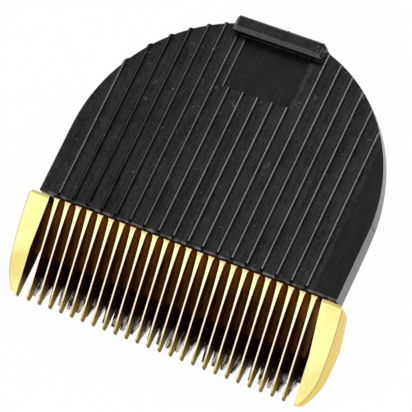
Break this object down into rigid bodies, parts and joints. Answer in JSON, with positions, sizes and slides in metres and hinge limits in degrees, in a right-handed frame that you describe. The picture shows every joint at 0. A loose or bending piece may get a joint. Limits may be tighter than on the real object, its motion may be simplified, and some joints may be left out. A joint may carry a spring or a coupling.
{
  "type": "hair clipper blade block",
  "caption": "Detachable hair clipper blade block: arched ridged cover, gold fixed comb with end guards, sliding steel cutter, wire springs and a cleaning lever.",
  "frame": {"origin": "bottom centre of the whole block, on the plane of the frame's back face", "axes": "+X across the teeth, +Y from the tooth tips to the arch of the cover, +Z out of the ridged face"},
  "size_m": [0.045, 0.0432, 0.0125],
  "materials": {
    "cover_plastic": "satin moulded charcoal",
    "gold_coat": "polished gold-coloured nitride coat",
    "blade_steel": "ground and polished",
    "acetal": "moulded",
    "frame_plastic": "moulded black",
    "screw_steel": "zinc plated",
    "spring_wire": "drawn wire",
    "lever_plastic": "moulded grey",
    "pin_steel": "bright"
  },
  "bodies": {
    "block": {"cover": "cover_plastic", "comb": "gold_coat", "comb_screws": "screw_steel", "rear_frame": "frame_plastic", "frame_screws": "screw_steel", "spring_left": "spring_wire", "spring_right": "spring_wire", "lever_pin": "pin_steel"},
    "guide": {"guide_plate": "acetal"},
    "cutter": {"moving_blade": "blade_steel", "drive_block": "acetal", "drive_rivets": "pin_steel"},
    "lever": {"lever": "lever_plastic"}
  },
  "joints": [
    {"name": "guide_lift", "type": "slide", "parent": "block", "child": "guide", "axis": [0, 0, -1], "range_m": [0, 0.0008], "stiffness_N_per_m": 1500, "springref_m": -0.001, "deforming": ["spring_left", "spring_right"]},
    {"name": "blade_stroke", "type": "slide", "parent": "guide", "child": "cutter", "axis": [1, 0, 0], "range_m": [-0.0013, 0.0013]},
    {"name": "lever_turn", "type": "hinge", "parent": "block", "child": "lever", "pos_m": [0, 0.0026, 0.0055], "axis": [-1, 0, 0], "range_deg": [0, 60]}
  ],
  "couplings": [
    {"joint": "lever_turn", "follows": "guide_lift", "rad_per_m": 1309}
  ]
}
